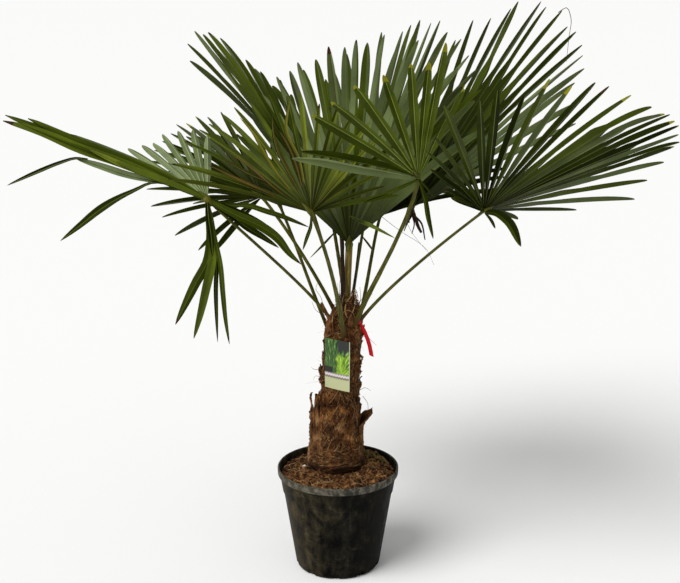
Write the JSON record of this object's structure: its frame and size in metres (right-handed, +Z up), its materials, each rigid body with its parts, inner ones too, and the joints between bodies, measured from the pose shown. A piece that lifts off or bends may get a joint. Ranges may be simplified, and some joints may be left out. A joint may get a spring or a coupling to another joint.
{
  "type": "windmill palm",
  "caption": "Young windmill palm in its round nursery pot, with a fibre-covered trunk, long stalks and fan-shaped fronds.",
  "frame": {"origin": "centre of the flat underside of the pot", "axes": "+Z up, away from the ground; -Y towards the side where the name card hangs; +X to the right of a viewer who stands on that side"},
  "size_m": [1.5247, 1.0896, 1.3693],
  "materials": {
    "pot_plastic": "moulded black-grey plastic, slightly dusty",
    "soil": "moist brown potting soil with bark and coir",
    "trunk_fibre": "dark brown matted fibre of old leaf sheaths",
    "leaf_base": "dry brown split leaf base",
    "stalk": "smooth olive green stalk",
    "leaf": "pleated dark green leaf, paler and greyer below",
    "card": "thin printed plastic card",
    "ribbon": "red woven ribbon"
  },
  "bodies": {
    "root": {"boot_back": "leaf_base", "boot_back_left": "leaf_base", "boot_front": "leaf_base", "boot_front_left": "leaf_base", "boot_left": "leaf_base", "boot_right": "leaf_base", "broken_knuckle": "stalk", "frond_back_left": "leaf", "frond_back_right": "leaf", "frond_broken": "leaf", "frond_broken_hanging": "leaf", "frond_broken_inner": "leaf", "frond_broken_long": "leaf", "frond_centre": "leaf", "frond_left_back": "leaf", "frond_left_front": "leaf", "frond_middle_back": "leaf", "frond_rear": "leaf", "frond_rear_left": "leaf", "frond_rear_right": "leaf", "frond_right": "leaf", "frond_right_front": "leaf", "frond_upper_back": "leaf", "name_card": "card", "pot": "pot_plastic", "ribbon_knot": "ribbon", "ribbon_tail": "ribbon", "soil": "soil", "stalk_back_left": "stalk", "stalk_back_right": "stalk", "stalk_broken": "stalk", "stalk_centre": "stalk", "stalk_left_back": "stalk", "stalk_left_front": "stalk", "stalk_middle_back": "stalk", "stalk_rear": "stalk", "stalk_rear_left": "stalk", "stalk_rear_right": "stalk", "stalk_right": "stalk", "stalk_right_front": "stalk", "stalk_upper_back": "stalk", "stray_lower": "leaf", "stray_upper": "leaf", "trunk": "trunk_fibre"}
  },
  "joints": []
}
